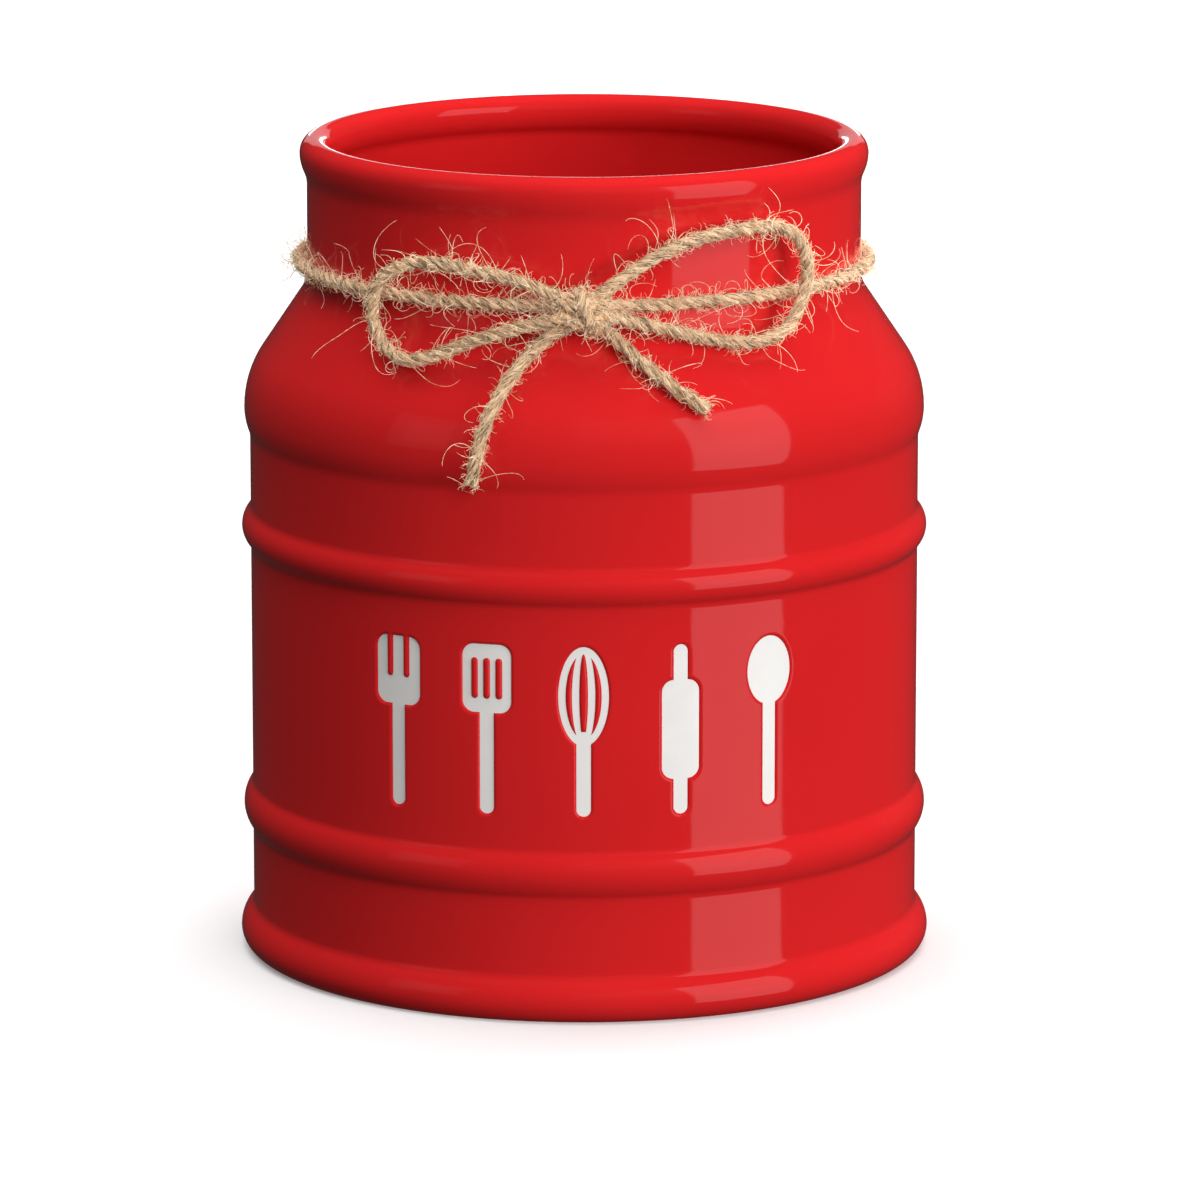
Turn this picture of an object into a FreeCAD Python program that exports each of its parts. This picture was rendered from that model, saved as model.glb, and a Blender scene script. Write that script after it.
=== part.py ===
import FreeCAD, Part
import math
import os

# A glazed stoneware utensil crock with a jute bow tied round its neck. Millimetres, +Z up. The origin is
# on the table at the middle of the foot, and the bow and the white pictograms face -Y.

# Crock, outside
crock_height = 176.0
barrel_diameter = 143.0
foot_height = 10.3           # table to where the foot bead meets the barrel
foot_peak = 3.9              # height of the foot bead's widest line
foot_proud = 2.7             # how far the foot bead stands out from the barrel
foot_tuck = 2.6              # how far the foot turns in again, from its widest line to the table
foot_ring_width = 7.5        # flat ring that the crock stands on
foot_recess = 2.0            # how far the underside is raised inside that ring
foot_recess_round = 1.5
lower_hoop_height = 31.3
lower_hoop_width = 11.2
upper_hoop_height = 92.2
upper_hoop_width = 9.6
hoop_proud = 1.9
bead_fillet = 2.4            # soft inner corner, filled by glaze, where a bead meets the wall
shoulder_height = 111.2      # where the barrel ends and the shoulder's bulge begins
bulge_height = 117.8
bulge_proud = 1.2
bulge_round = 22.0
bulge_fillet = 6.0           # hollow under the bulge
shoulder_slope = 34.0        # degrees between the shoulder's straight flank and the vertical
neck_inset = 12.5            # how far the neck stands in from the barrel
neck_fillet = 8.0
rim_depth = 10.2             # rolled rim, from its top down to the neck
rim_crown = 3.5              # rolled rim, from its top down to its widest line
rim_proud = 1.5
rim_inner_proud = 1.0        # the roll stands out a little on the inside too

# Crock, inside
neck_wall = 3.4
barrel_wall = 4.0
floor_thickness = 6.0
inner_neck_round = 6.0
inner_shoulder_round = 14.0
inner_floor_round = 10.0

# White pictograms, each a glaze fill in a recess of the barrel
motif_middle = 62.0
motif_height = 36.0
motif_pitch = 20.5           # from one pictogram to the next, along the barrel
head_width = 10.5
head_height = 14.5
handle_width = 3.0
head_corner = 2.5
slot_width = 1.5
pin_width = 8.0              # roller of the rolling pin
pin_height = 21.0
whisk_height = 21.0
recess_depth = 0.9
fill_sunk = 0.4              # front of a fill, below the barrel's surface
fill_clearance = 0.05
slot_height_share = 0.6      # length of the slots, of the head's height
inner_wire_share = 0.46      # width of the whisk's inner wire, of the head's width

# Twine
twine_diameter = 3.2
twine_clearance = 0.2        # so that the tied twine can be turned on the neck
wrap_rise = 4.8              # middle of the neck wrap, above the corner of neck and shoulder
wrap_end_gap = 2.0           # between the wrap's two ends, inside the knot
knot_side = -0.2             # the knot sits a little to the left of the middle
knot_length = 10.4
knot_diameter = 9.6
knot_end_diameter = 6.8
tangent_share = 0.45         # of the shorter run beside a bend, taken up by the bend's arc

overrun = 1.0                # how far cutting shapes pass the surface that they cut

# Routes of the bow's free stretches, as points from the knot's middle
left_loop_route = [
    (-3.5, -1.0, 2.5), (-8.0, -0.5, 4.0), (-14.0, 1.0, 5.9), (-21.0, 3.3, 7.3), (-28.5, 6.5, 8.4),
    (-35.5, 10.4, 8.1), (-41.5, 13.8, 5.1), (-43.9, 15.0, -0.8), (-43.0, 13.4, -7.0), (-39.5, 9.5, -11.8),
    (-33.5, 6.0, -11.9), (-26.5, 3.8, -8.8), (-19.0, 1.8, -5.7), (-12.0, 0.1, -3.7), (-7.0, -1.0, -2.2),
    (-3.5, -2.0, -1.5)]
right_loop_route = [
    (4.0, -1.0, 3.5), (7.0, -0.5, 5.5), (12.0, 0.8, 8.9), (18.5, 2.6, 12.4), (26.0, 5.4, 14.4),
    (34.0, 9.2, 15.3), (41.0, 13.8, 15.2), (45.5, 17.2, 11.6), (47.0, 18.2, 5.5), (45.8, 16.6, -0.9),
    (42.6, 14.2, -7.0), (36.0, 9.6, -9.0), (28.5, 6.0, -7.9), (21.5, 3.0, -5.8), (14.5, 0.6, -3.7),
    (9.0, -1.0, -2.2), (4.5, -2.0, -0.8)]
left_tail_route = [
    (-2.5, 1.0, -3.5), (-5.5, 0.8, -4.8), (-8.8, 0.3, -7.3), (-12.3, -1.1, -10.6), (-15.8, -3.4, -15.2),
    (-18.9, -5.9, -20.2), (-21.0, -7.6, -25.7), (-22.2, -8.1, -30.9), (-23.2, -8.0, -35.7)]
right_tail_route = [
    (2.0, -0.3, -2.0), (5.0, 0.9, -4.6), (8.5, -0.1, -7.9), (13.0, -1.7, -11.7), (17.5, -2.9, -15.0),
    (22.0, -3.8, -18.0), (26.0, -4.1, -20.5)]

# Sizes that follow from those above
origin = FreeCAD.Vector(0, 0, 0)
along_x = FreeCAD.Vector(1, 0, 0)
upward = FreeCAD.Vector(0, 0, 1)
slope = math.radians(shoulder_slope)
barrel_radius = barrel_diameter / 2
neck_radius = barrel_radius - neck_inset
bulge_radius = barrel_radius + bulge_proud
rim_start = crock_height - rim_depth
rim_peak = crock_height - rim_crown
slope_top_radius = bulge_radius - bulge_round * (1 - math.cos(slope))
slope_top_height = bulge_height + bulge_round * math.sin(slope)
corner_height = slope_top_height + (slope_top_radius - neck_radius) / math.tan(slope)
twine_radius = twine_diameter / 2
wrap_radius = neck_radius + twine_clearance + twine_radius
wrap_height = corner_height + wrap_rise
knot_centre = FreeCAD.Vector(knot_side, -(wrap_radius + twine_diameter), wrap_height)


def point(radius, height):
    """A point of the crock's profile, in the XZ plane."""
    return FreeCAD.Vector(radius, 0, height)


def edges_along(start, moves):
    """Edges from start: a move of one point is a straight run to it, one of two is an arc by way of the first."""
    edges = []
    here = start
    for move in moves:
        if len(move) == 1:
            edges.append(Part.makeLine(here, move[0]))
        else:
            edges.append(Part.Arc(here, move[0], move[1]).toShape())
        here = move[-1]
    return edges


def bend(before, corner, after, setback):
    """Moves that round a corner with an arc that starts and ends setback away from it."""
    back = (before - corner).normalize()
    on = (after - corner).normalize()
    half_angle = back.getAngle(on) / 2
    to_centre = setback / math.cos(half_angle)
    radius = setback * math.tan(half_angle)
    inward = (back + on).normalize()
    return [(corner + back * setback,), (corner + inward * (to_centre - radius), corner + on * setback)]


def fillet_bend(before, corner, after, radius):
    """Moves that round a corner with an arc of a given radius."""
    half_angle = (before - corner).getAngle(after - corner) / 2
    return bend(before, corner, after, radius / math.tan(half_angle))


def crown_middle(peak_radius, peak_height, end_radius, end_height):
    """Middle of the arc that leaves a bead's widest line upright and ends at a given point."""
    proud = peak_radius - end_radius
    fall = end_height - peak_height
    radius = (fall * fall + proud * proud) / (2 * proud)
    half_turn = math.asin(fall / radius) / 2
    return point(peak_radius - radius * (1 - math.cos(half_turn)), peak_height + radius * math.sin(half_turn))


def flank(wall_radius, peak_radius, peak_height, end_height, fillet):
    """Five points of a bead's side, from its widest line to the wall: a round arc and a hollow one, tangent."""
    proud = peak_radius - wall_radius
    fall = end_height - peak_height
    reach = (fall * fall + proud * proud) / (2 * proud)
    hollow = math.copysign(fillet, proud)
    crown = reach - hollow
    turn = math.asin(fall / reach)

    def on_crown(angle):
        return point(peak_radius - crown * (1 - math.cos(angle)), peak_height + crown * math.sin(angle))

    def in_hollow(angle):
        return point(wall_radius + hollow * (1 - math.cos(angle)), end_height - hollow * math.sin(angle))

    return [on_crown(0), on_crown(turn / 2), on_crown(turn), in_hollow(turn / 2), in_hollow(0)]


def off_peak(side):
    """Moves from a bead's widest line to the wall."""
    return [(side[1], side[2]), (side[3], side[4])]


def onto_peak(side):
    """Moves from the wall to a bead's widest line."""
    return [(side[3], side[2]), (side[1], side[0])]


def hoop_moves(middle, width):
    """Moves up the barrel and over one raised hoop."""
    peak_radius = barrel_radius + hoop_proud
    below = flank(barrel_radius, peak_radius, middle, middle - width / 2, bead_fillet)
    above = flank(barrel_radius, peak_radius, middle, middle + width / 2, bead_fillet)
    return [(below[4],)] + onto_peak(below) + off_peak(above)


def outside_edges():
    """Profile from the axis under the foot, up the outside, to the rim's widest line."""
    foot_radius = barrel_radius + foot_proud
    flat_radius = foot_radius - foot_tuck
    ring_radius = flat_radius - foot_ring_width
    under = point(0, foot_recess)
    recess_corner = point(ring_radius, foot_recess)
    ring_inside = point(ring_radius, 0)
    moves = bend(under, recess_corner, ring_inside, foot_recess_round)
    moves += [(ring_inside,), (point(flat_radius, 0),)]
    moves.append((crown_middle(foot_radius, foot_peak, flat_radius, 0), point(foot_radius, foot_peak)))
    moves += off_peak(flank(barrel_radius, foot_radius, foot_peak, foot_height, bead_fillet))
    moves += hoop_moves(lower_hoop_height, lower_hoop_width)
    moves += hoop_moves(upper_hoop_height, upper_hoop_width)

    bulge = flank(barrel_radius, bulge_radius, bulge_height, shoulder_height, bulge_fillet)
    slope_top = point(slope_top_radius, slope_top_height)
    bulge_middle = point(
        bulge_radius - bulge_round * (1 - math.cos(slope / 2)), bulge_height + bulge_round * math.sin(slope / 2))
    moves += [(bulge[4],)] + onto_peak(bulge) + [(bulge_middle, slope_top)]

    rim = flank(neck_radius, neck_radius + rim_proud, rim_peak, rim_start, bead_fillet)
    moves += fillet_bend(slope_top, point(neck_radius, corner_height), rim[4], neck_fillet)
    moves += [(rim[4],)] + onto_peak(rim)
    return edges_along(under, moves)


def rim_edge():
    """Half an ellipse over the rolled rim, from its outer widest line to its inner one."""
    outer_radius = neck_radius + rim_proud
    inner_radius = neck_radius - neck_wall - rim_inner_proud
    middle_radius = (outer_radius + inner_radius) / 2
    crown = Part.Ellipse(point(middle_radius, crock_height), point(outer_radius, rim_peak),
                         point(middle_radius, rim_peak))
    start = crown.parameter(point(outer_radius, rim_peak))
    end = crown.parameter(point(inner_radius, rim_peak))
    over_the_top = Part.ArcOfEllipse(crown, end, start + 2 * math.pi)
    return over_the_top.toShape()


def inside_edges():
    """Profile from the rim's inner widest line, down the inside, to the axis and back to the underside."""
    neck_inner = neck_radius - neck_wall
    barrel_inner = barrel_radius - barrel_wall
    floor_top = foot_recess + floor_thickness
    rim = flank(neck_inner, neck_inner - rim_inner_proud, rim_peak, rim_start, bead_fillet)
    # The inner flank runs beside the outer one, a barrel wall inside it.
    line_radius = neck_radius - barrel_wall * math.cos(slope)
    line_height = corner_height - barrel_wall * math.sin(slope)
    top_corner = point(neck_inner, line_height + (line_radius - neck_inner) / math.tan(slope))
    low_corner = point(barrel_inner, line_height + (line_radius - barrel_inner) / math.tan(slope))
    floor_corner = point(barrel_inner, floor_top)
    floor_middle = point(0, floor_top)
    moves = off_peak(rim)
    moves += fillet_bend(rim[4], top_corner, low_corner, inner_neck_round)
    moves += fillet_bend(top_corner, low_corner, floor_corner, inner_shoulder_round)
    moves += fillet_bend(low_corner, floor_corner, floor_middle, inner_floor_round)
    moves += [(floor_middle,), (point(0, foot_recess),)]
    return edges_along(rim[0], moves)


def make_crock():
    """The vessel, turned from one profile, with the recesses for the pictograms cut into its front."""
    profile = Part.Wire(outside_edges() + [rim_edge()] + inside_edges())
    crock = Part.Face(profile).revolve(origin, upward, 360)
    sink = ring(barrel_radius - recess_depth, barrel_radius + overrun)
    for number, motif in enumerate(motifs):
        crock = crock.cut(place_motif(motifs[motif](fill_clearance), number).common(sink))
    return crock


def ring(inner_radius, outer_radius):
    """A tall ring that pictograms are cut out of, so that they follow the barrel."""
    low = FreeCAD.Vector(0, 0, motif_middle - motif_height)
    tall = 2 * motif_height
    return Part.makeCylinder(outer_radius, tall, low).cut(Part.makeCylinder(inner_radius, tall, low))


def prism(wire):
    """An outline drawn in the XZ plane, carried forward through the front of the barrel."""
    return Part.Face(wire).extrude(FreeCAD.Vector(0, -(barrel_radius + 2 * overrun), 0))


def bar(across, low, high, width):
    """An upright bar with round ends."""
    half = width / 2
    foot = low + half
    head = high - half
    moves = [
        (point(across + half, head),), (point(across, high), point(across - half, head)),
        (point(across - half, foot),), (point(across, low), point(across + half, foot))]
    return prism(Part.Wire(edges_along(point(across + half, foot), moves)))


def oval(middle, width, height):
    """An upright oval."""
    centre = point(0, middle)
    outline = Part.Ellipse(point(0, middle + height / 2), point(width / 2, middle), centre)
    return prism(Part.Wire(outline.toShape()))


def plate(middle, width, height, corner):
    """An upright plate with round corners."""
    left, right = -width / 2, width / 2
    low, high = middle - height / 2, middle + height / 2
    corners = [point(right, low), point(right, high), point(left, high), point(left, low)]
    start = point(0, low)
    moves = []
    for index, place in enumerate(corners):
        moves += fillet_bend(corners[index - 1], place, corners[(index + 1) % len(corners)], corner)
    moves.append((start,))
    return prism(Part.Wire(edges_along(start, moves)))


def handle(grow, top):
    """The lower part that most of the pictograms share."""
    return bar(0, -motif_height / 2 - grow, top, handle_width + 2 * grow)


def fork(grow):
    """A serving fork: a round-cornered head, cut into tines from the top."""
    middle = (motif_height - head_height) / 2
    head = plate(middle, head_width + 2 * grow, head_height + 2 * grow, head_corner + grow)
    tine_pitch = (head_width + slot_width) / 3
    for side in (-1, 1):
        low = motif_height / 2 - slot_height_share * head_height + grow
        head = head.cut(bar(side * tine_pitch / 2, low, motif_height, slot_width - 2 * grow))
    return head.fuse(handle(grow, middle)).removeSplitter()


def turner(grow):
    """A slotted turner: a round-cornered blade with upright slots."""
    middle = (motif_height - head_height) / 2
    head = plate(middle, head_width + 2 * grow, head_height + 2 * grow, head_corner + grow)
    half_slot = slot_height_share * head_height / 2 - grow
    slot_pitch = head_width / 4
    blade = head.fuse(handle(grow, middle - half_slot - slot_width))
    for step in (-1, 0, 1):
        blade = blade.cut(bar(step * slot_pitch, middle - half_slot, middle + half_slot, slot_width - 2 * grow))
    return blade.removeSplitter()


def whisk(grow):
    """A balloon whisk: two oval wires on a handle."""
    middle = (motif_height - whisk_height) / 2
    wires = []
    for width in (head_width, inner_wire_share * head_width):
        outer = oval(middle, width + 2 * grow, whisk_height + 2 * grow)
        hole = oval(middle, width - 2 * slot_width - 2 * grow, whisk_height - 2 * slot_width - 2 * grow)
        wires.append(outer.cut(hole))
    low = middle - whisk_height / 2
    return wires[0].fuse([wires[1], handle(grow, low + handle_width)]).removeSplitter()


def rolling_pin(grow):
    """A rolling pin: a roller with a handle at each end."""
    roller = plate(0, pin_width + 2 * grow, pin_height + 2 * grow, head_corner + grow)
    return roller.fuse(handle(grow, motif_height / 2 + grow)).removeSplitter()


def spoon(grow):
    """A spoon: an oval bowl on a handle."""
    middle = (motif_height - head_height) / 2
    bowl = oval(middle, head_width + 2 * grow, head_height + 2 * grow)
    return bowl.fuse(handle(grow, middle)).removeSplitter()


motifs = {"fork": fork, "turner": turner, "whisk": whisk, "rolling_pin": rolling_pin, "spoon": spoon}


def place_motif(shape, number):
    """Raise a pictogram to its height and turn it to its place in the row."""
    steps = number - (len(motifs) - 1) / 2
    placed = shape.translated(FreeCAD.Vector(0, 0, motif_middle))
    return placed.rotated(origin, upward, math.degrees(steps * motif_pitch / barrel_radius))


def make_fills():
    """The white fills, one in each recess, sunk a little below the barrel's surface."""
    skin = ring(barrel_radius - recess_depth + fill_clearance, barrel_radius - fill_sunk)
    fills = {}
    for number, motif in enumerate(motifs):
        fills["fill_" + motif] = place_motif(motifs[motif](0), number).common(skin)
    return fills


def make_wrap():
    """The twine round the neck, from the knot to the knot again."""
    section = Part.Face(Part.Wire(Part.makeCircle(twine_radius, point(wrap_radius, 0), FreeCAD.Vector(0, 1, 0))))
    gap_angle = math.degrees(wrap_end_gap / wrap_radius)
    turned = section.revolve(origin, upward, 360 - gap_angle)
    turned.rotate(origin, upward, gap_angle / 2 - 90)
    return turned.translated(FreeCAD.Vector(0, 0, wrap_height))


def make_knot():
    """The bow's knot, a small barrel that lies across the front of the wrap."""
    half = knot_length / 2
    end_radius = knot_end_diameter / 2
    moves = [
        (point(-half, end_radius),), (point(0, knot_diameter / 2), point(half, end_radius)),
        (point(half, 0),), (point(-half, 0),)]
    profile = Part.Wire(edges_along(point(-half, 0), moves))
    return Part.Face(profile).revolve(origin, along_x, 360).translated(knot_centre)


def make_tube(name, route):
    """One free stretch of twine: a round tube along straight runs joined by the largest arcs that fit them."""
    places = [knot_centre + FreeCAD.Vector(*place) for place in route]
    moves = []
    radii = []
    for before, corner, after in zip(places, places[1:], places[2:]):
        setback = tangent_share * min((corner - before).Length, (after - corner).Length)
        half_angle = (before - corner).getAngle(after - corner) / 2
        radii.append(setback * math.tan(half_angle))
        moves += bend(before, corner, after, setback)
    moves.append((places[-1],))
    path = Part.Wire(edges_along(places[0], moves))
    section = Part.Wire(Part.makeCircle(twine_radius, places[0], places[1] - places[0]))
    tube = path.makePipeShell([section], True, False)
    expected = math.pi * twine_radius * twine_radius * path.Length
    print(name, "length %.1f, least radius %.1f, volume share %.4f" % (path.Length, min(radii), tube.Volume / expected))
    return tube


nodes = {"crock_body": make_crock()}
nodes.update(make_fills())
nodes["twine_wrap"] = make_wrap()
nodes["bow_knot"] = make_knot()
nodes["bow_loop_left"] = make_tube("bow_loop_left", left_loop_route)
nodes["bow_loop_right"] = make_tube("bow_loop_right", right_loop_route)
nodes["bow_tail_left"] = make_tube("bow_tail_left", left_tail_route)
nodes["bow_tail_right"] = make_tube("bow_tail_right", right_tail_route)

os.makedirs("parts", exist_ok=True)
for name, shape in nodes.items():
    shape.exportStep("parts/" + name + ".step")
    print(name, "solids", len(shape.Solids), "valid", shape.isValid(), "volume %.1f" % shape.Volume)
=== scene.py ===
import math

import bpy
import numpy as np
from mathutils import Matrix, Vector


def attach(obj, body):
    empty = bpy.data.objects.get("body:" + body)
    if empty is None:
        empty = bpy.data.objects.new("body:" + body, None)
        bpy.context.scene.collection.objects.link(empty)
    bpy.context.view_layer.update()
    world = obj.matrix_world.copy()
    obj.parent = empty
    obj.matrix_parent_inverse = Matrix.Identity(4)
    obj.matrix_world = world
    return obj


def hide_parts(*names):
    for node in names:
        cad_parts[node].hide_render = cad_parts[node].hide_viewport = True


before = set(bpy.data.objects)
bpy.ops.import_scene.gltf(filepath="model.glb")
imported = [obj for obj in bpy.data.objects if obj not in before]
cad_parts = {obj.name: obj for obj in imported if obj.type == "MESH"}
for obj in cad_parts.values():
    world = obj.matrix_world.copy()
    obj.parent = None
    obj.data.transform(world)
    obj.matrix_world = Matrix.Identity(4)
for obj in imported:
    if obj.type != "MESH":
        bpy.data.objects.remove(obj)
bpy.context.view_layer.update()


# The crock: one slip-cast stoneware vessel, round in plan, with a rolled rim, a soft shoulder, two raised hoops,
# a foot bead and a hollow inside. It is dipped in red glaze and fired: the glaze fills the inner corners of the
# beads and softens the edges of the five recesses in its front.

MM = 0.001
barrel, foot, hoop, bulge, neck, rim_outer = 71.5, 74.2, 73.4, 72.7, 59.0, 60.5     # outer radii, mm
barrel_inside, neck_inside, rim_inner = 67.5, 56.6, 54.0
ring_outside, ring_inside = 71.6, 64.1              # the flat ring that it stands on
foot_z, bulge_z, rim_z, under_rim = 3.9, 117.8, 172.5, 165.8        # heights of the widest lines, and below the rim
floor_top, recess_top, wall_thick, rim_crown = 8.0, 2.0, 4.0, 3.5
lean, bulge_round = math.radians(34), 22.0          # the shoulder's slope, and the round that leads into it
columns, bead_steps = 240, 9                        # faces round the crock, and points on each side of a bead
cell = 2 * math.pi * barrel / columns               # width of one column of faces on the barrel
picture_z, picture_pitch, picture_rows = 62.0, 20.5, 22     # the pictograms' middle, spacing and rows of faces
band_rows = picture_z + cell * (np.arange(picture_rows) - (picture_rows - 1) / 2)


def bead_side(wall, peak, peak_z, end_z, fillet=2.4):
    """From a bead's widest line to the wall: a round arc, then a hollow arc of radius fillet, tangent to both."""
    proud, fall = peak - wall, end_z - peak_z
    reach = (fall ** 2 + proud ** 2) / (2 * proud)
    hollow = math.copysign(fillet, proud)
    turn = np.linspace(0, math.asin(fall / reach), bead_steps)
    crown = np.c_[peak - (reach - hollow) * (1 - np.cos(turn)), peak_z + (reach - hollow) * np.sin(turn)]
    turn = turn[-2::-1]
    return np.vstack([crown, np.c_[wall + hollow * (1 - np.cos(turn)), end_z - hollow * np.sin(turn)]])


def bead(peak, z, low, high):
    """A whole bead on the barrel, from its lower end to its upper one."""
    return np.vstack([bead_side(barrel, peak, z, low)[::-1], bead_side(barrel, peak, z, high)[1:]])


def round_corner(before, corner, after, radius, steps):
    """An arc of a given radius in a corner: centre on the corner's bisector, swept from one leg to the other."""
    before, corner, after = (np.array(p, float) for p in (before, corner, after))
    back, on = ((leg - corner) / np.linalg.norm(leg - corner) for leg in (before, after))
    half = math.acos(np.clip(back @ on, -1, 1)) / 2
    centre = corner + (back + on) / np.linalg.norm(back + on) * radius / math.sin(half)
    start = corner + back * radius / math.tan(half) - centre
    end = corner + on * radius / math.tan(half) - centre
    turn = np.linspace(0, math.pi - 2 * half, steps)[:, None]
    return centre + (np.sin(turn[::-1]) * start + np.sin(turn) * end) / math.sin(math.pi - 2 * half)


# The profile, as radius and height, from the middle of the underside round to the middle of the floor. Plain pairs
# are rings of corners that only keep the faces even.
slope_low = (bulge - bulge_round * (1 - math.cos(lean)), bulge_z + bulge_round * math.sin(lean))
corner_z = slope_low[1] + (slope_low[0] - neck) / math.tan(lean)
bulge_turn = np.linspace(0, lean, 9)[1:]
outside = np.vstack([
    bead_side(ring_outside, foot, foot_z, end_z=0.0, fillet=0.001)[::-1],
    bead_side(barrel, foot, foot_z, end_z=10.3)[1:],
    [(barrel, 14.0), (barrel, 20.0)],
    bead(hoop, z=31.3, low=25.7, high=36.9),
    np.c_[np.full(len(band_rows), barrel), band_rows],
    bead(hoop, z=92.2, low=87.4, high=97.0),
    [(barrel, 102.0), (barrel, 107.0)],
    bead_side(barrel, bulge, bulge_z, end_z=111.2, fillet=6.0)[::-1],
    np.c_[bulge - bulge_round * (1 - np.cos(bulge_turn)), bulge_z + bulge_round * np.sin(bulge_turn)],
    round_corner(slope_low, (neck, corner_z), (neck, under_rim), radius=8.0, steps=12),
    [(neck, 153.0), (neck, 160.0)],
    bead_side(neck, rim_outer, rim_z, under_rim, fillet=7.0)[::-1]])
inner_line = np.array([neck, corner_z]) - wall_thick * np.array([math.cos(lean), math.sin(lean)])
inner_top = (neck_inside, inner_line[1] + (inner_line[0] - neck_inside) / math.tan(lean))
inner_low = (barrel_inside, inner_line[1] + (inner_line[0] - barrel_inside) / math.tan(lean))
rim_turn = np.linspace(0, math.pi, 26)[1:-1]
rim_middle, rim_half = (rim_outer + rim_inner) / 2, (rim_outer - rim_inner) / 2
inside = np.vstack([
    np.c_[rim_middle + rim_half * np.cos(rim_turn), rim_z + rim_crown * np.sin(rim_turn)],
    bead_side(neck_inside, rim_inner, peak_z=172.0, end_z=166.5, fillet=2.6),
    [(neck_inside, 157.0)],
    round_corner((neck_inside, rim_z), inner_top, inner_low, radius=6.0, steps=8),
    round_corner(inner_top, inner_low, (barrel_inside, floor_top), radius=14.0, steps=9),
    [(barrel_inside, 95.0), (barrel_inside, 70.0), (barrel_inside, 45.0)],
    round_corner(inner_low, (barrel_inside, floor_top), (0, floor_top), radius=10.0, steps=12),
    [(40.0, floor_top), (20.0, floor_top)]])
profile = np.vstack([
    [(20.0, recess_top), (45.0, recess_top)],
    round_corner((0, recess_top), (ring_inside, recess_top), (ring_inside, 0), radius=1.5, steps=6),
    [(ring_inside, 0)],
    outside, inside])

# The pictograms' outlines, in mm from each one's middle: u is to the right, w is up.
head, head_corner = (10.75, 10.5, 14.5), 2.5        # middle, width and height
handle, handle_end, slot_width = 3.0, -18.0, 1.5


def bar(u, w, across, low, high, width):
    """Signed distance to an upright bar with round ends."""
    return np.hypot(u - across, w - np.clip(w, low + width / 2, high - width / 2)) - width / 2


def plate(u, w, middle, width, height, corner):
    """Signed distance to an upright plate with round corners."""
    a, b = np.abs(u) - width / 2 + corner, np.abs(w - middle) - height / 2 + corner
    return np.hypot(np.maximum(a, 0), np.maximum(b, 0)) + np.minimum(np.maximum(a, b), 0) - corner


def oval(u, w, middle, width, height):
    """Near distance to an upright oval: its implicit value over the length of its gradient."""
    a, b = u / (width / 2), (w - middle) / (height / 2)
    size = np.hypot(a, b) + 1e-9
    return (size - 1) * size / (np.hypot(a / (width / 2), b / (height / 2)) + 1e-9)


def fork(u, w):
    """A head with two slots open at the top, and a handle."""
    slots = np.min([bar(u, w, x, 9.3, 40.0, slot_width) for x in (-2.0, 2.0)], axis=0)
    tines = np.maximum(plate(u, w, *head, head_corner), -slots)
    return np.minimum(tines, bar(u, w, 0, handle_end, 8.0, handle))


def turner(u, w):
    """A blade with three closed slots, and a handle."""
    slots = np.min([bar(u, w, x, 6.4, 15.1, slot_width) for x in (-2.625, 0, 2.625)], axis=0)
    blade = np.minimum(plate(u, w, *head, head_corner), bar(u, w, 0, handle_end, 4.9, handle))
    return np.maximum(blade, -slots)


def whisk(u, w):
    """Two oval wires on a handle."""
    middle, height, wire = 7.5, 21.0, 1.5
    wires = [np.maximum(oval(u, w, middle, width, height), -oval(u, w, middle, width - 2 * wire, height - 2 * wire))
             for width in (10.5, 4.83)]
    return np.min([*wires, bar(u, w, 0, handle_end, 0, handle)], axis=0)


def rolling_pin(u, w):
    """A roller with a handle at each end."""
    return np.minimum(plate(u, w, 0, 8.0, 21.0, head_corner), bar(u, w, 0, handle_end, -handle_end, handle))


def spoon(u, w):
    """An oval bowl on a handle."""
    return np.minimum(oval(u, w, *head), bar(u, w, 0, handle_end, 10.0, handle))


def recess_depth(distance):
    """Depth of a recess at a distance from its outline: level inside, then a steep wall up to the white glaze, then
    a lip that the red glaze rounds, whose depth goes down to nothing as a square."""
    deepest, sunk, edge, run, lip_width = 0.9, 0.4, 0.05, 0.35, 0.5
    wall = sunk + (edge - distance) * (deepest - sunk) / run
    lip = sunk * np.clip((edge + lip_width - distance) / lip_width, 0, 1) ** 2
    return np.where(distance < edge, np.minimum(wall, deepest), lip)


def on_crock(radius, column, z):
    """Points of the crock: columns count round from the back by way of the left, so the front is half way."""
    turn = math.pi / 2 + 2 * math.pi * column / columns
    return np.stack(np.broadcast_arrays(radius * np.cos(turn), radius * np.sin(turn), z), axis=-1)


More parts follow.
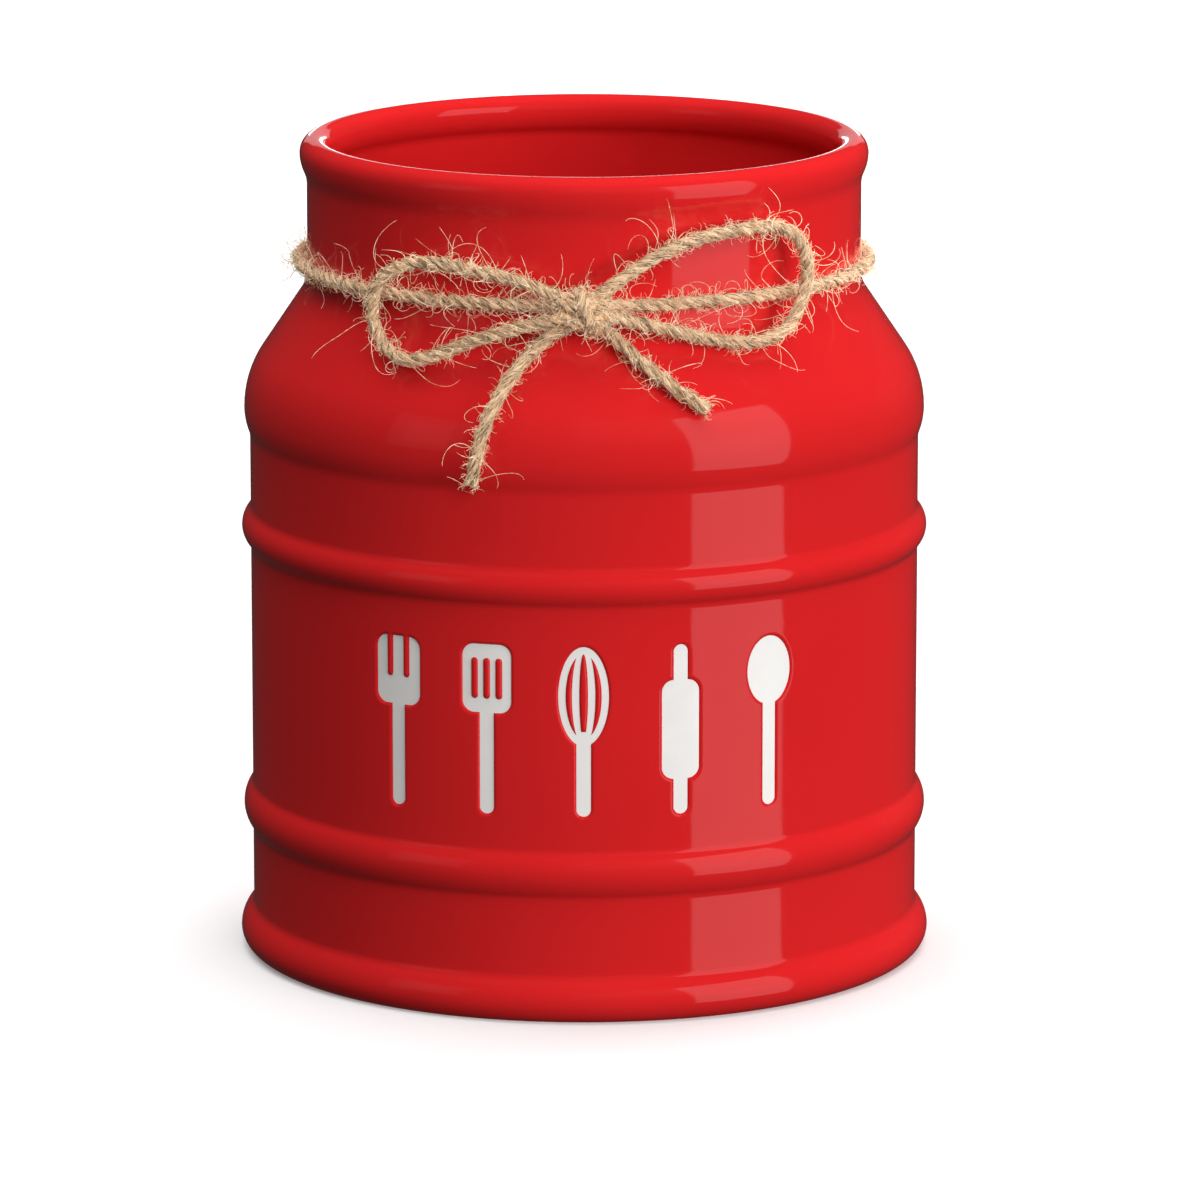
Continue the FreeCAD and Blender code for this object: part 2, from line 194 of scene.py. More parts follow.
# Coarse faces go all round. Five finer patches take their place where the recesses are, and the faces beside a
# patch have its finer corners on the side that they share, so the surface has no cracks.
motifs = (fork, turner, whisk, rolling_pin, spoon)
fine, patch_columns = 6, 8
band = int(np.flatnonzero(np.isclose(profile[:, 1], band_rows[0]) & np.isclose(profile[:, 0], barrel))[0])
cells = len(band_rows) - 1
points = [on_crock(profile[:, :1], np.arange(columns)[None], profile[:, 1:]).reshape(-1, 3)]
index = np.arange(len(profile) * columns).reshape(len(profile), columns)
whole = np.ones((len(profile) - 1, columns), bool)
many_sided, small_faces, patches = [], [], []
count = index.size
for number, motif in enumerate(motifs):
    along = picture_pitch * (number - len(motifs) // 2)
    first = columns // 2 + round(along / cell) - patch_columns // 2
    last = first + patch_columns
    column = first + np.arange(patch_columns * fine + 1) / fine
    z = np.linspace(band_rows[0], band_rows[-1], cells * fine + 1)
    u, w = np.meshgrid((column - columns / 2) * cell - along, z - picture_z)
    points.append(on_crock(barrel - recess_depth(motif(u, w)), column[None], z[:, None]).reshape(-1, 3))
    patch = count + np.arange(u.size).reshape(u.shape)
    count += u.size
    small_faces.append(np.stack(
        [patch[:-1, :-1], patch[:-1, 1:], patch[1:, 1:], patch[1:, :-1]], axis=-1).reshape(-1, 4))
    index[band:band + cells + 1, first:last + 1] = patch[::fine, ::fine]
    whole[band - 1:band + cells + 1, first:last] = False
    whole[band:band + cells, first - 1:last + 1] = False
    patches.append((first, last, patch))
for first, last, patch in patches:
    side, rows, run = np.arange(first, last), np.arange(band, band + cells), np.arange(fine + 1)
    across, up = fine * np.arange(patch_columns)[:, None], fine * np.arange(cells)[:, None]
    below, above, left, right = index[band - 1], index[band + cells + 1], index[:, first - 1], index[:, last + 1]
    many_sided += [
        np.c_[patch[-1, across + run], above[side + 1], above[side]],
        np.c_[below[side], below[side + 1], patch[0, across + run[::-1]]],
        np.c_[left[rows], patch[up + run, 0], left[rows + 1]],
        np.c_[right[rows], right[rows + 1], patch[up + run[::-1], -1]]]
around = np.roll(index, -1, axis=1)
large_faces = np.stack([index[:-1], around[:-1], around[1:], index[1:]], axis=-1)[whole]
points.append(np.array([(0, 0, recess_top), (0, 0, floor_top)], float))
under_fan = np.c_[np.full(columns, count), around[0], index[0]]
floor_fan = np.c_[np.full(columns, count + 1), index[-1], around[-1]]


def make_piece(name, points, faces, material, body):
    """A smooth mesh object from points in mm and arrays of faces, one array for each number of corners."""
    sizes = np.concatenate([np.full(len(f), f.shape[1]) for f in faces])
    used, corners = np.unique(np.concatenate([f.ravel() for f in faces]), return_inverse=True)
    mesh = bpy.data.meshes.new(name)
    mesh.vertices.add(len(used))
    mesh.vertices.foreach_set("co", (points[used] * MM).ravel())
    mesh.loops.add(len(corners))
    mesh.loops.foreach_set("vertex_index", corners.ravel().astype(np.int32))
    mesh.polygons.add(len(sizes))
    mesh.polygons.foreach_set("loop_start", (np.cumsum(sizes) - sizes).astype(np.int32))
    mesh.update(calc_edges=True)
    mesh.shade_smooth()
    mesh.materials.append(material)
    piece = bpy.data.objects.new(name, mesh)
    bpy.context.scene.collection.objects.link(piece)
    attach(piece, body)
    return piece


def linear(colour):
    """An sRGB hex colour as linear red, green, blue and alpha."""
    channels = np.array([int(colour[i:i + 2], 16) for i in (1, 3, 5)]) / 255
    return (*np.where(channels <= 0.04045, channels / 12.92, ((channels + 0.055) / 1.055) ** 2.4), 1.0)


def add(tree, kind, inputs=None, **settings):
    """Adds a node with its settings; an input is a value, or another node's output to link from."""
    node = tree.nodes.new(kind)
    for key, value in settings.items():
        setattr(node, key, value)
    for key, value in (inputs or {}).items():
        if isinstance(value, bpy.types.NodeSocket):
            tree.links.new(value, node.inputs[key])
        else:
            node.inputs[key].default_value = value
    return node


def new_material(name):
    """An empty node material and its output."""
    material = bpy.data.materials.new(name)
    material.use_nodes = True
    material.node_tree.nodes.clear()
    return material, material.node_tree, material.node_tree.nodes.new("ShaderNodeOutputMaterial")


# Fired red glaze: a deep, even red under a hard glassy skin. The pigment drifts a little over some 40 mm, and the
# skin has the faint ripple of a dipped glaze, about 7 mm from crest to crest.
red_glaze, tree, output = new_material("red_glaze_dipped_and_fired")
place = add(tree, "ShaderNodeTexCoord").outputs["Object"]
drift = add(tree, "ShaderNodeTexNoise", {"Vector": place, "Scale": 1 / (40 * MM), "Detail": 2.0})
ripple = add(tree, "ShaderNodeTexNoise", {"Vector": place, "Scale": 1 / (7 * MM), "Detail": 1.0})
red = add(tree, "ShaderNodeMix", {
    0: drift.outputs["Fac"], 6: linear("#D52022"), 7: linear("#DF2426")}, data_type="RGBA")
skin = add(tree, "ShaderNodeBump", {"Height": ripple.outputs["Fac"], "Strength": 0.25, "Distance": 0.02 * MM})
glaze = add(tree, "ShaderNodeBsdfPrincipled", {
    "Base Color": red.outputs[2], "Normal": skin.outputs["Normal"], "Roughness": 0.07, "IOR": 1.5})
tree.links.new(glaze.outputs["BSDF"], output.inputs["Surface"])

faces = [large_faces, *small_faces, *many_sided, under_fan, floor_fan]
crock = make_piece("crock_glazed", np.vstack(points), faces, red_glaze, "crock")
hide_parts("crock_body")


# The pictograms: white glaze laid into the five recesses and fired with the crock, a little below its surface.
# Each one keeps its modelled outline, and the recess's soft lip comes down to it. The white clouds over some 6 mm
# where the glaze has pooled.

white_glaze, tree, output = new_material("white_glaze_fired_in_recess")
place = add(tree, "ShaderNodeTexCoord").outputs["Object"]
cloud = add(tree, "ShaderNodeTexNoise", {"Vector": place, "Scale": 1 / (6 * MM), "Detail": 3.0})
white = add(tree, "ShaderNodeMix", {
    0: cloud.outputs["Fac"], 6: linear("#F3F0EC"), 7: linear("#FCFAF7")}, data_type="RGBA")
pooled = add(tree, "ShaderNodeBump", {"Height": cloud.outputs["Fac"], "Strength": 0.3, "Distance": 0.05 * MM})
enamel = add(tree, "ShaderNodeBsdfPrincipled", {
    "Base Color": white.outputs[2], "Normal": pooled.outputs["Normal"], "Roughness": 0.14, "IOR": 1.5})
tree.links.new(enamel.outputs["BSDF"], output.inputs["Surface"])
for motif in motifs:
    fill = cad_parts["fill_" + motif.__name__]
    fill.data.materials.clear()
    fill.data.materials.append(white_glaze)


# The neck wrap: jute twine of three plies, twisted right-handed, 3.2 mm thick, drawn tight round the neck from the
# knot to the knot again. Fibres lie loose on it and stand off it all the way.

twine_width, ply_radius, ply_offset, ply_sides = 3.2, 0.64, 0.66, 20
lay, frayed = 9.0, 5.0          # length of one full turn of the plies, and of a cut end where they spread
ahead_share = 0.6               # of the fibres, that point the way the twine runs


def unit(vectors):
    """Vectors at length one."""
    return vectors / np.linalg.norm(vectors, axis=-1, keepdims=True)


def frames_along(line):
    """Along each point of a line: length so far, and unit vectors out from the crock's axis, across, and ahead."""
    ahead = unit(np.gradient(line, axis=0))
    length = np.concatenate([[0], np.cumsum(np.linalg.norm(np.diff(line, axis=0), axis=1))])
    out = line * [1, 1, 0]
    out = unit(out - np.sum(out * ahead, axis=1, keepdims=True) * ahead)
    return length, out, np.cross(ahead, out), ahead


def plies_along(line, fray=0.0):
    """Three plies round a line, each a helix of one turn per lay that wanders by two sines: length so far, each ply's
    middle, and unit vectors from the twine's middle and sideways. With fray, for a cut end, the lay opens out, and
    the plies spread as the square of the way along the frayed length."""
    length, out, across, _ = frames_along(line)
    s, ply = length[:, None], np.arange(3)
    wander = 0.22 * np.sin(s / 2.9 + 2.2 * ply) + 0.3 * np.sin(s / 7.3)
    turn = 2 * math.pi * (s / (lay * (1 + 1.6 * fray)) + ply / 3) + wander
    arm = np.cos(turn)[..., None] * out[:, None] + np.sin(turn)[..., None] * across[:, None]
    spread = 1 + fray * np.clip((length - length[-1] + frayed) / frayed, 0, 1) ** 2
    middle = line[:, None] + (ply_offset * spread)[:, None, None] * arm
    return length, middle, arm, np.cross(unit(np.gradient(middle, axis=0)), arm)


def twist_twine(line, fray=0.0):
    """The plies' skins: sections are circles, their radius times 1 + ridges that follow the fibres + lumps along the
    ply, each a sum of two sines. Returns points, faces and fibre places."""
    length, middle, arm, side = plies_along(line, fray)
    angle = math.pi + 2 * math.pi * np.arange(ply_sides) / ply_sides
    ply, s, a = np.arange(3)[None, :, None], length[:, None, None], angle[None, None]
    ridges = 0.07 * np.sin(5 * a + s / 1.3 + 2 * ply) + 0.06 * np.sin(9 * a - s / 0.9 + ply)
    lumps = 0.09 * np.sin(s / 2.7 + 2.1 * ply) + 0.05 * np.sin(s / 1.1 + 4 * ply)
    radius = ply_radius * (1 + ridges + lumps)
    radius[[0, -1]] = 0
    points = middle[:, :, None] + radius[..., None] * (
        np.cos(a)[..., None] * arm[:, :, None] + np.sin(a)[..., None] * side[:, :, None])
    grid = np.arange(radius.size).reshape(radius.shape)
    beside = np.roll(grid, -1, axis=2)
    walls = np.stack([grid[1:-2], beside[1:-2], beside[2:-1], grid[2:-1]], axis=-1).reshape(-1, 4)
    tips = np.stack([np.broadcast_to(grid[0, :, :1], grid[1].shape), beside[1], grid[1]], axis=-1).reshape(-1, 3)
    ends = np.stack([grid[-2], beside[-2], np.broadcast_to(grid[-1, :, :1], grid[1].shape)], axis=-1).reshape(-1, 3)
    fibre = np.stack(np.broadcast_arrays(ply_radius * a + 0.3 * s, s, 7.0 * ply), axis=-1)
    return points.reshape(-1, 3), [walls, tips, ends], fibre.reshape(-1, 3)


def make_twine(name, strands):
    """One mesh from plies and the fibres on them, with the place along each fibre kept as an attribute in mm."""
    points = np.vstack([s[0] for s in strands])
    starts = np.cumsum([0] + [len(s[0]) for s in strands])
    faces = [part + start for (_, parts, _), start in zip(strands, starts) for part in parts]
    piece = make_piece(name, points, faces, jute, "twine")
    used = np.unique(np.concatenate([f.ravel() for f in faces]))
    kept = piece.data.attributes.new("fibre_place", "FLOAT_VECTOR", "POINT")
    kept.data.foreach_set("vector", np.vstack([s[2] for s in strands])[used].ravel())
    return piece


def glaze_radius(z):
    """Outer radius of the crock at a height."""
    return np.interp(z, outside[:, 1], outside[:, 0])


def fibre_tubes(middle, inward, level, thick):
    """Thin three-sided tubes along rows of points, with two vectors across each point; thick is the first radius."""
    number, steps = middle.shape[:2]
    taper = 0.45
    corner = (2 * math.pi * np.arange(3) / 3)[None, None, :, None]
    radius = np.linspace(thick, taper * thick, steps)[None, :, None, None]
    points = middle[:, :, None] + radius * (np.cos(corner) * inward[:, :, None] + np.sin(corner) * level[:, :, None])
    grid = np.arange(number * steps * 3).reshape(number, steps, 3)
    beside = np.roll(grid, -1, axis=2)
    walls = np.stack([grid[:, :-1], beside[:, :-1], beside[:, 1:], grid[:, 1:]], axis=-1)
    return points.reshape(-1, 3), [walls.reshape(-1, 4), grid[:, 0, ::-1], grid[:, -1]]


def lay_fibres(line, per_mm, rng, fray=0.0):
    """Fibres that lie on the plies: each runs along a ply's skin for 1.5 to 4.5 mm, drifts round it by up to 0.8
    radian, and lifts off by up to 0.8 mm, as the square of the way along. Returns points, faces and fibre places."""
    length, *plies = plies_along(line, fray)
    number = int(per_mm * length[-1])
    t = np.linspace(0, 1, 6)
    way = np.where(rng.random((number, 1)) < ahead_share, 1, -1) * rng.uniform(1.5, 4.5, (number, 1))
    s = np.clip(rng.uniform(0, length[-1], (number, 1)) + way * t, 0, length[-1])
    a = rng.uniform(-1.7, 1.7, (number, 1)) + rng.uniform(-0.8, 0.8, (number, 1)) * t
    place = np.interp(s, length, np.arange(len(length))).clip(0, len(length) - 1.001)
    low, share = place.astype(int), (place % 1)[..., None]
    ply = rng.integers(0, 3, (number, 1))
    middle, arm, side = ((1 - share) * v[low, ply] + share * v[low + 1, ply] for v in plies)
    outward = np.cos(a)[..., None] * arm + np.sin(a)[..., None] * side
    lift = 0.8 * rng.random((number, 1)) ** 3 * t ** 2
    middle = middle + (1.08 * ply_radius + lift)[..., None] * outward
    sideways = np.cross(unit(np.gradient(middle, axis=1) + 1e-9), outward)
    points, faces = fibre_tubes(middle, outward, sideways, thick=0.08)
    fibre = np.stack(np.broadcast_arrays(rng.uniform(0, 40, (number, 1)), s, 7.0 * ply), axis=-1)
    return points, faces, np.repeat(fibre.reshape(-1, 3), 3, axis=0)


def pull_fibres(line, groups, rng, end):
    """Fibres that stand off the twine: each leaves it partly along its ply and partly outwards, and its heading turns
    as curl t + wave sin(2 pi t + phase) over its length, t from 0 to 1. Where it would pass into the glaze it lies
    on it. A group gives fibres per mm, the shortest and longest, the most that one curls in radians, radius and
    number of points. A share, end, of them is at the line's last point."""
    root, wave, clear = 1.35, 0.2, 0.12         # mm from the line's middle, radians, mm off the glaze
    length, *axes = frames_along(line)
    for per_mm, shortest, longest, most, thick, steps in groups:
        number = int(per_mm * length[-1])
        at = rng.uniform(0, length[-1], number)
        at[rng.random(number) < end] = length[-1]
        where, out, across, ahead = (
            np.stack([np.interp(at, length, v[:, k]) for k in range(3)], axis=1) for v in (line, *axes))
        angle = rng.uniform(0, 2 * math.pi, (number, 1))
        away = np.cos(angle) * out + np.sin(angle) * across
        along = np.where(rng.random((number, 1)) < ahead_share, 1, -1) * (ahead + 0.5 * np.cross(ahead, away))
        start = unit(rng.uniform(0.4, 1.0, (number, 1)) * away + rng.uniform(0.1, 1.0, (number, 1)) * along)
        bend = unit(np.cross(start, rng.normal(size=start.shape)))
        start, bend, level = start[:, None], bend[:, None], np.cross(start, bend)[:, None]
        size = rng.uniform(shortest, longest, (number, 1, 1))
        curl, phase, lean = rng.uniform((0.8, 0, -0.4), (most, 2 * math.pi, 0.4), (number, 3)).T[:, :, None, None]
        t = np.linspace(0, 1, steps)[None, :, None]
        heading = curl * t + wave * (np.sin(2 * math.pi * t + phase) - np.sin(phase))
        stride = np.cos(heading) * start + np.sin(heading) * bend + lean * t * level
        walk = np.cumsum((stride[:, 1:] + stride[:, :-1]) / 2, axis=1) * size / (steps - 1)
        middle = (where + root * away)[:, None] + np.concatenate([np.zeros((number, 1, 3)), walk], axis=1)
        reach = np.linalg.norm(middle[..., :2], axis=-1)
        middle[..., :2] *= np.maximum(1, (glaze_radius(middle[..., 2]) + clear) / reach)[..., None]
        inward = np.cos(heading) * bend - np.sin(heading) * start
        yield fibre_tubes(middle, inward, np.broadcast_to(level, middle.shape), thick)


def make_fibres(name, line, groups, rng, end=0.0):
    """One mesh of the fibres that stand off a line of twine."""
    tubes = list(pull_fibres(line, groups, rng, end))
    starts = np.cumsum([0] + [len(points) for points, _ in tubes])
    faces = [part + start for (_, parts), start in zip(tubes, starts) for part in parts]
    piece = make_piece(name, np.vstack([points for points, _ in tubes]), faces, loose_jute, "twine")
    piece.visible_shadow = False        # real fibres are thinner, too thin to shade the glaze
    return piece


# Jute: coarse bast fibres, pale straw streaked at random with darker strands, dull and slightly waxy. The dark end is
# a deep brown that is partly painted shade: it also stands in for the shadow between the plies and fibres. A fibre is
# about 0.1 mm wide, too fine to show, so the streaks are drawn 0.25 mm wide and 4 mm long.
jute, tree, output = new_material("jute_three_ply_twisted")
fibre = add(tree, "ShaderNodeAttribute", attribute_name="fibre_place").outputs["Vector"]
streak = add(tree, "ShaderNodeMapping", {"Vector": fibre, "Scale": (1 / 0.25, 1 / 4.0, 1.0)}, vector_type="POINT")
streaks = add(tree, "ShaderNodeTexNoise", {
    "Vector": streak.outputs[0], "Scale": 1.0, "Detail": 4.0, "Roughness": 0.65})
contrast = add(tree, "ShaderNodeMapRange", {
    "Value": streaks.outputs["Fac"], "From Min": 0.37, "From Max": 0.52}, interpolation_type="SMOOTHSTEP")
# Painted shade: the deep brown end of this mix stands in for the shadow between plies and fibres, as well as for the
# jute's darker strands.
straw_and_painted_shade = add(tree, "ShaderNodeMix", {
    0: contrast.outputs[0], 6: linear("#583D1E"), 7: linear("#FADAB4")}, data_type="RGBA")
raised = add(tree, "ShaderNodeBump", {"Height": streaks.outputs["Fac"], "Strength": 0.8, "Distance": 0.12 * MM})
bast = add(tree, "ShaderNodeBsdfPrincipled", {
    "Base Color": straw_and_painted_shade.outputs[2], "Normal": raised.outputs["Normal"], "Roughness": 0.85, "IOR": 1.45})
tree.links.new(bast.outputs["BSDF"], output.inputs["Surface"])

# Loose jute fibres: single pale hairs that let some light through, nearly white where they catch it. Their tone
# changes every 1.2 mm or so along them.
loose_jute, tree, output = new_material("jute_loose_fibres")
place = add(tree, "ShaderNodeTexCoord").outputs["Object"]
vary = add(tree, "ShaderNodeTexNoise", {"Vector": place, "Scale": 1 / (1.2 * MM), "Detail": 1.0})
tone = add(tree, "ShaderNodeMapRange", {
    "Value": vary.outputs["Fac"], "From Min": 0.36, "From Max": 0.58}, interpolation_type="SMOOTHSTEP")
pale = add(tree, "ShaderNodeMix", {
    0: tone.outputs[0], 6: linear("#E0BD90"), 7: linear("#FFF6E4")}, data_type="RGBA")
hair = add(tree, "ShaderNodeBsdfPrincipled", {"Base Color": pale.outputs[2], "Roughness": 0.6, "IOR": 1.45})
through = add(tree, "ShaderNodeBsdfTranslucent", {"Color": pale.outputs[2]})
fine_hair = add(tree, "ShaderNodeMixShader", {0: 0.4, 1: hair.outputs[0], 2: through.outputs[0]})
tree.links.new(fine_hair.outputs[0], output.inputs["Surface"])

# Standing fibres, short, curly and long: number per mm, shortest, longest, most curl, radius and points of each.
standing = ((6.0, 0.7, 2.4, 2.6, 0.06, 6), (1.5, 2.5, 7.5, 4.6, 0.09, 11), (0.24, 7.0, 16.0, 3.8, 0.09, 15))
wrap_radius, wrap_z, wrap_steps, knot_gap = 60.6, corner_z + 4.8, 900, 0.02
turn = np.linspace(-0.5 * math.pi + knot_gap, 1.5 * math.pi - knot_gap, wrap_steps)
wrap_line = np.c_[wrap_radius * np.cos(turn), wrap_radius * np.sin(turn), np.full(wrap_steps, wrap_z)]
rng = np.random.default_rng(3)
wrap = make_twine("twine_round_neck", [twist_twine(wrap_line), lay_fibres(wrap_line, per_mm=7.0, rng=rng)])
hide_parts("twine_wrap")
make_fibres("fibres_round_neck", wrap_line, standing, rng)


# The bow's two loops: the same twine, springing from the knot, out over the shoulder and back. They stand a little
# proud of the neck, and only the knot holds them.

knot = np.array([-0.2, -64.0, wrap_z])       # the bow's routes are given from here


def smooth_line(name, route):
    """Points in mm along a route's line: a NURBS spline with the route's points as its control points."""
    curve = bpy.data.curves.new(name, "CURVE")
    curve.dimensions = "3D"
    spline = curve.splines.new("NURBS")
    spline.points.add(len(route) - 1)
    spline.points.foreach_set("co", np.c_[(np.array(route) + knot) * MM, np.ones(len(route))].ravel())
    spline.order_u = 3
    spline.use_endpoint_u = True
    spline.resolution_u = 16
    holder = bpy.data.objects.new(name, curve)
    mesh = bpy.data.meshes.new_from_object(holder)
    line = np.empty(3 * len(mesh.vertices))
    mesh.vertices.foreach_get("co", line)
    bpy.data.objects.remove(holder)
    bpy.data.curves.remove(curve)
    bpy.data.meshes.remove(mesh)
    return line.reshape(-1, 3) / MM


def make_stretch(name, node, route, seed, fray=0.0, end=0.0):
    """One free stretch of the bow's twine, with its loose fibres."""
    line = smooth_line(name, route)
    rng = np.random.default_rng(seed)
    piece = make_twine(name, [twist_twine(line, fray), lay_fibres(line, per_mm=14.0, rng=rng, fray=fray)])
    fibres = make_fibres("fibres_" + name, line, standing, rng, end)
    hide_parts(node)
    frames_along(line)[0][-1] * MM


make_stretch("loop_left", "bow_loop_left", [
    (-1.0, -1.0, 1.4), (-3.5, -1.0, 2.5), (-8.0, -0.5, 4.0), (-14.0, 1.0, 5.9), (-21.0, 3.3, 7.3), (-28.5, 6.5, 8.4),
    (-35.5, 10.4, 8.1), (-41.5, 13.8, 5.1), (-43.9, 15.0, -0.8), (-43.0, 13.4, -7.0), (-39.5, 9.5, -11.8),
    (-33.5, 6.0, -11.9), (-26.5, 3.8, -8.8), (-19.0, 1.8, -5.7), (-12.0, 0.1, -3.7), (-7.0, -1.0, -2.2),
    (-3.5, -2.0, -1.5), (-1.0, -1.8, -0.8)], seed=11)
make_stretch("loop_right", "bow_loop_right", [
    (1.5, -0.8, 1.6), (4.0, -1.0, 3.5), (7.0, -0.5, 5.5), (12.0, 0.8, 8.9), (18.5, 2.6, 12.4), (26.0, 5.4, 14.4),
    (34.0, 9.2, 15.3), (41.0, 13.8, 15.2), (45.5, 17.2, 11.6), (47.0, 18.2, 5.5), (45.8, 16.6, -0.9),
    (42.6, 14.2, -7.0), (36.0, 9.6, -9.0), (28.5, 6.0, -7.9), (21.5, 3.0, -5.8), (14.5, 0.6, -3.7),
    (9.0, -1.0, -2.2), (4.5, -2.0, -0.8), (1.5, -1.8, 0.0)], seed=12)


# The bow's two tails: cut ends of the twine that hang from the knot over the shoulder. The plies open a little at
# the cut, with a tuft of fibres.

make_stretch("tail_left", "bow_tail_left", [
    (-2.5, 1.0, -3.5), (-5.5, 0.8, -4.8), (-8.8, 0.3, -7.3), (-12.3, -1.1, -10.6), (-15.8, -3.4, -15.2),
    (-18.9, -5.9, -20.2), (-21.0, -7.6, -25.7), (-22.2, -8.1, -30.9), (-23.2, -8.0, -35.7)],
    seed=13, fray=0.5, end=0.06)
make_stretch("tail_right", "bow_tail_right", [
    (2.0, -0.3, -2.0), (5.0, 0.9, -4.6), (8.5, -0.1, -7.9), (13.0, -1.7, -11.7), (17.5, -2.9, -15.0),
    (22.0, -3.8, -18.0), (26.0, -4.1, -20.5)],
    seed=14, fray=0.4, end=0.06)


# The knot: short turns of the same twine, pulled tight where the loops, tails and wrap meet. One turn passes over
# the front from top to bottom, and two lie across behind it.

knot_routes = [
    [(-0.4, 2.0, 3.2), (-0.4, -1.2, 3.7), (-0.2, -3.4, 2.8), (0.6, -4.2, 0.2), (1.5, -3.8, -2.4), (2.0, -1.6, -4.2),
     (2.2, 1.6, -4.4)],
    [(-6.0, -0.4, 1.4), (-3.6, -2.4, 1.6), (-0.5, -3.2, 0.6), (3.2, -2.6, 0.9), (6.0, -0.6, 1.4)],
    [(-5.0, -0.4, -2.2), (-2.6, -2.6, -2.4), (0.6, -3.2, -2.4), (3.4, -2.4, -1.4), (5.6, -0.8, -1.0)]]
crowded = ((10.0, 0.7, 2.4, 2.6, 0.06, 6), (3.0, 2.0, 6.5, 4.6, 0.09, 11))      # its standing fibres
knot_lines = [smooth_line("turn", route) for route in knot_routes]
rng = np.random.default_rng(21)
knot_turns = make_twine("knot_turns", [
    strand for line in knot_lines for strand in (twist_twine(line), lay_fibres(line, per_mm=16.0, rng=rng))])
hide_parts("bow_knot")
for number, line in enumerate(knot_lines, 1):
    make_fibres("fibres_knot_%d" % number, line, crowded, rng)


# The set: a plain pale floor under soft light from above, with a panel in front, a key to the right, one behind the
# right side and a narrow spot into the mouth. Other panels are only mirrored in the glaze: a tall window to the
# right, a dim one to the left, and a dim one with a bright strip behind, for the rim.

floor_mesh = bpy.data.meshes.new("floor")
floor_half = 9          # m
floor_mesh.from_pydata(
    [(x * floor_half, y * floor_half, 0) for x, y in ((-1, -1), (1, -1), (1, 1), (-1, 1))], [], [(0, 1, 2, 3)])
floor = bpy.data.objects.new("floor", floor_mesh)
bpy.context.scene.collection.objects.link(floor)
floor.visible_glossy = False
floor.visible_diffuse = False
sweep, tree, output = new_material("white_paper_sweep")
paper = add(tree, "ShaderNodeBsdfDiffuse", {"Color": linear("#E2E2E2")})
glow = add(tree, "ShaderNodeEmission", {"Color": (1, 1, 1, 1), "Strength": 0.2})
both = add(tree, "ShaderNodeAddShader", {0: paper.outputs[0], 1: glow.outputs[0]})
tree.links.new(both.outputs[0], output.inputs["Surface"])
floor_mesh.materials.append(sweep)

world = bpy.data.worlds.new("studio")
bpy.context.scene.world = world
world.use_nodes = True
tree = world.node_tree
tree.nodes.clear()
air_seen, air_light, air_mirrored = (1, 1, 1, 1), (0.11, 0.11, 0.11, 1), (0.03, 0.03, 0.03, 1)
ray = add(tree, "ShaderNodeLightPath").outputs
dim = add(tree, "ShaderNodeMix", {0: ray["Is Glossy Ray"], 6: air_light, 7: air_mirrored}, data_type="RGBA")
air = add(tree, "ShaderNodeMix", {0: ray["Is Camera Ray"], 6: dim.outputs[2], 7: air_seen}, data_type="RGBA")
sky = add(tree, "ShaderNodeBackground", {"Color": air.outputs[2], "Strength": 1.0})
tree.links.new(sky.outputs[0], add(tree, "ShaderNodeOutputWorld").inputs["Surface"])


def toward(azimuth, elevation):
    """The unit vector towards a lamp; azimuth is to the right of the front, in degrees."""
    a, e = math.radians(azimuth), math.radians(elevation)
    return Vector((math.sin(a) * math.cos(e), -math.cos(a) * math.cos(e), math.sin(e)))


def hang(lamp, direction, place=(0, 0, 0), mirrored=False, lights=True):
    """Hangs a lamp at a place, shining from a direction. The glaze mirrors it, or it lights the set, as given."""
    piece = bpy.data.objects.new(lamp.name, lamp)
    piece.location = place
    piece.rotation_euler = direction.to_track_quat("Z", "Y").to_euler()
    piece.visible_glossy, piece.visible_diffuse = mirrored, lights
    bpy.context.scene.collection.objects.link(piece)


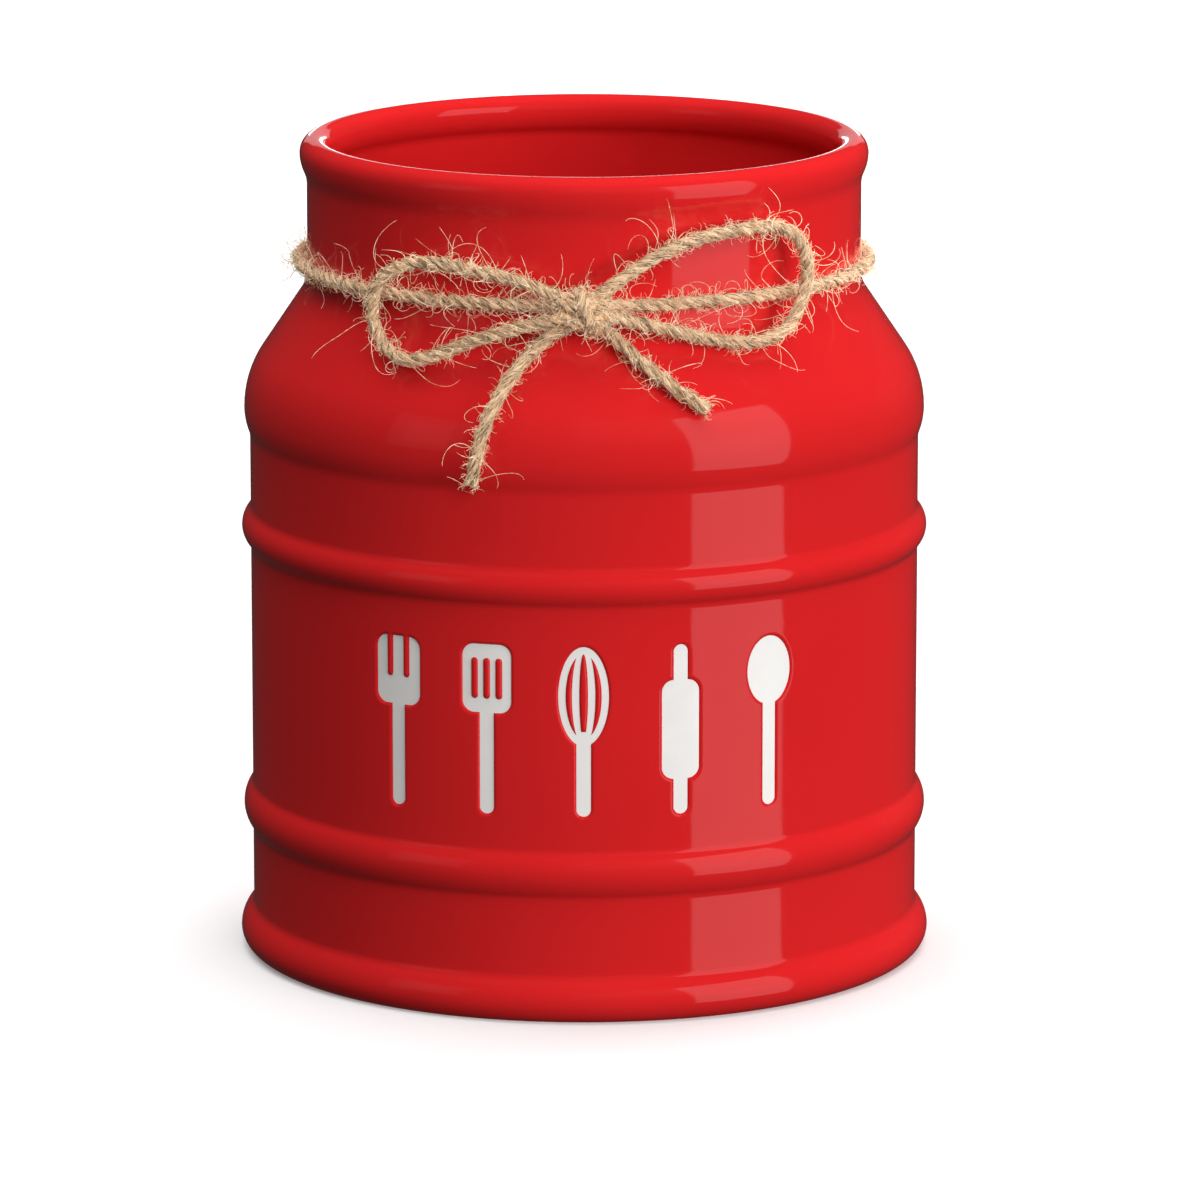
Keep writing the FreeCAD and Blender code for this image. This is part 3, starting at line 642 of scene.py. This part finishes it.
sun = bpy.data.lights.new("overhead", "SUN")
sun.energy, sun.angle = 0.94 * math.pi, math.radians(70)
hang(sun, Vector((-0.11, 0.16, 0.98)))
spot_from, spot_throw, spot_radius, mouth = toward(60, 30), 1.5, 0.055, Vector((-0.025, 0.037, 0.168))
spot = bpy.data.lights.new("mouth_light", "SPOT")
spot.energy, spot.shadow_soft_size = 0.45 * (2 * math.pi * spot_throw) ** 2, 0.06
spot.spot_size, spot.spot_blend = 2 * math.atan(spot_radius / spot_throw), 1.0
hang(spot, spot_from, spot_from * spot_throw + mouth)

# Each panel faces the crock's middle: azimuth, elevation, distance, width and height in m, radiance, and whether it
# is only mirrored or only lights.
crock_middle = Vector((0, 0, 0.09))
for name, azimuth, elevation, distance, width, height, radiance, mirrored in (
        ("front", 16, 29, 1.6, 1.0, 0.8, 4.1, False),
        ("key", 49, 6, 1.6, 0.8, 0.5, 10.5, False),
        ("side", 142, 6, 1.6, 1.4, 0.5, 11.7, False),
        ("window_right", 53.5, 10, 1.5, 0.98, 1.7, 1.05, True),
        ("window_left", -54, 17, 1.5, 0.72, 0.8, 0.11, True),
        ("window_left_middle", -54, 17, 1.4, 0.4, 0.5, 0.08, True),
        ("panel_behind", 180, 11, 1.6, 0.9, 0.4, 0.45, True),
        ("strip_behind", 180, 6.1, 1.55, 0.54, 0.11, 3.6, True)):
    panel = bpy.data.lights.new(name, "AREA")
    panel.shape, panel.size, panel.size_y = "RECTANGLE", width, height
    panel.energy = radiance * math.pi * width * height
    direction = toward(azimuth, elevation)
    hang(panel, direction, direction * distance + crock_middle, mirrored, lights=not mirrored)

# The camera: a long lens that looks down a little, in the photograph's place.
bpy.context.scene.view_settings.view_transform = "Standard"
lens = bpy.data.cameras.new("camera")
lens.lens, lens.sensor_width, lens.clip_end = 249.65, 36.0, 40.0
camera = bpy.data.objects.new("camera", lens)
aim, stand_off, pitch = Vector((0.00339, 0, 0.07476)), 1.79, math.radians(12.09)
camera.location = aim + stand_off * Vector((0, -math.cos(pitch), math.sin(pitch)))
camera.rotation_euler = (math.pi / 2 - pitch, 0, 0)
bpy.context.scene.collection.objects.link(camera)
bpy.context.scene.camera = camera
